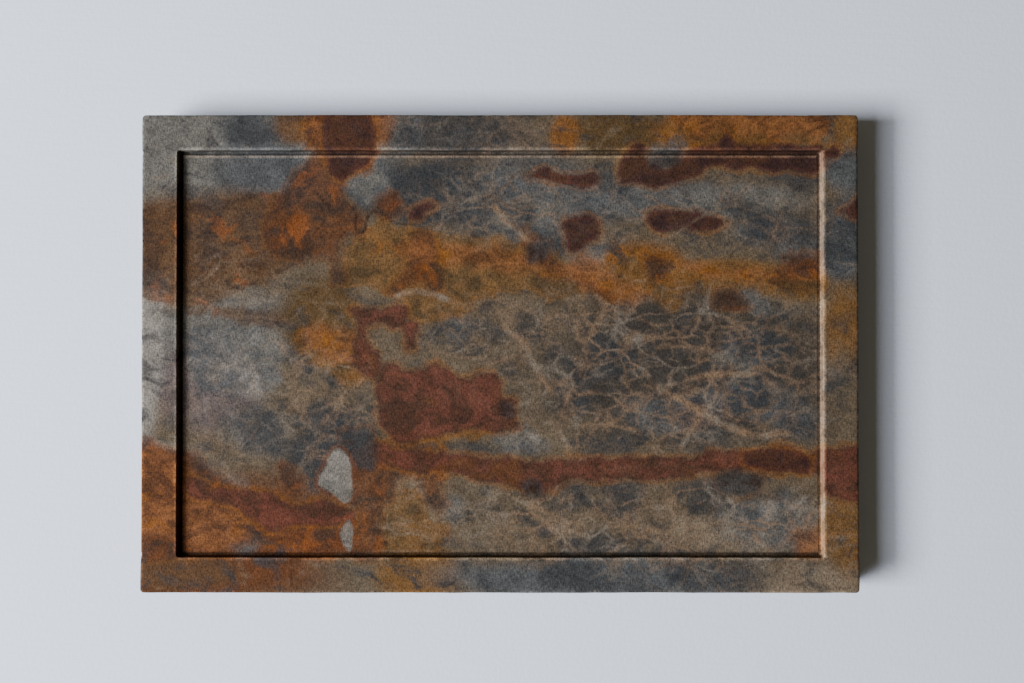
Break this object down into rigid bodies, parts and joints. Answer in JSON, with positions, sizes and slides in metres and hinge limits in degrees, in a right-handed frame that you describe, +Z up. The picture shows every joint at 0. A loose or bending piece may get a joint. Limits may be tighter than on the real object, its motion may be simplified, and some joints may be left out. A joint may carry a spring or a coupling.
{
  "type": "cloth-wrapped tea tray",
  "caption": "Flat rectangular tea tray wrapped in one stained cloth, with a raised rim around a shallow sunk field, standing on low rubber feet.",
  "frame": {"origin": "on the table, under the middle of the tray", "axes": "+X along the long side to the right, +Y to the back, +Z up, out of the field"},
  "size_m": [0.3, 0.2, 0.02],
  "materials": {
    "cover_cloth": "rust-dyed, creased and lightly waxed, matt",
    "lining": "plain woven, matt",
    "rail_wood": "planed, unfinished",
    "spacer_wood": "sawn, unfinished",
    "key_wood": "planed, unfinished",
    "plywood": "sanded, unfinished",
    "rubber": "moulded, matt",
    "steel": "zinc plated"
  },
  "bodies": {
    "root": {"rail_front": "rail_wood", "rail_back": "rail_wood", "rail_left": "rail_wood", "rail_right": "rail_wood", "mitre_key_front_left": "key_wood", "mitre_key_front_right": "key_wood", "mitre_key_back_left": "key_wood", "mitre_key_back_right": "key_wood", "corner_block_front_left": "spacer_wood", "corner_block_front_right": "spacer_wood", "corner_block_back_left": "spacer_wood", "corner_block_back_right": "spacer_wood", "ledge_front": "spacer_wood", "ledge_back": "spacer_wood", "ledge_left": "spacer_wood", "ledge_right": "spacer_wood", "batten_left": "spacer_wood", "batten_middle": "spacer_wood", "batten_right": "spacer_wood", "field_panel": "plywood", "bottom_panel": "plywood", "panel_pins": "steel", "cover_cloth": "cover_cloth", "underside_lining": "lining", "foot_front_left": "rubber", "foot_front_right": "rubber", "foot_back_left": "rubber", "foot_back_right": "rubber", "foot_washers": "steel", "foot_screws": "steel"}
  },
  "joints": []
}
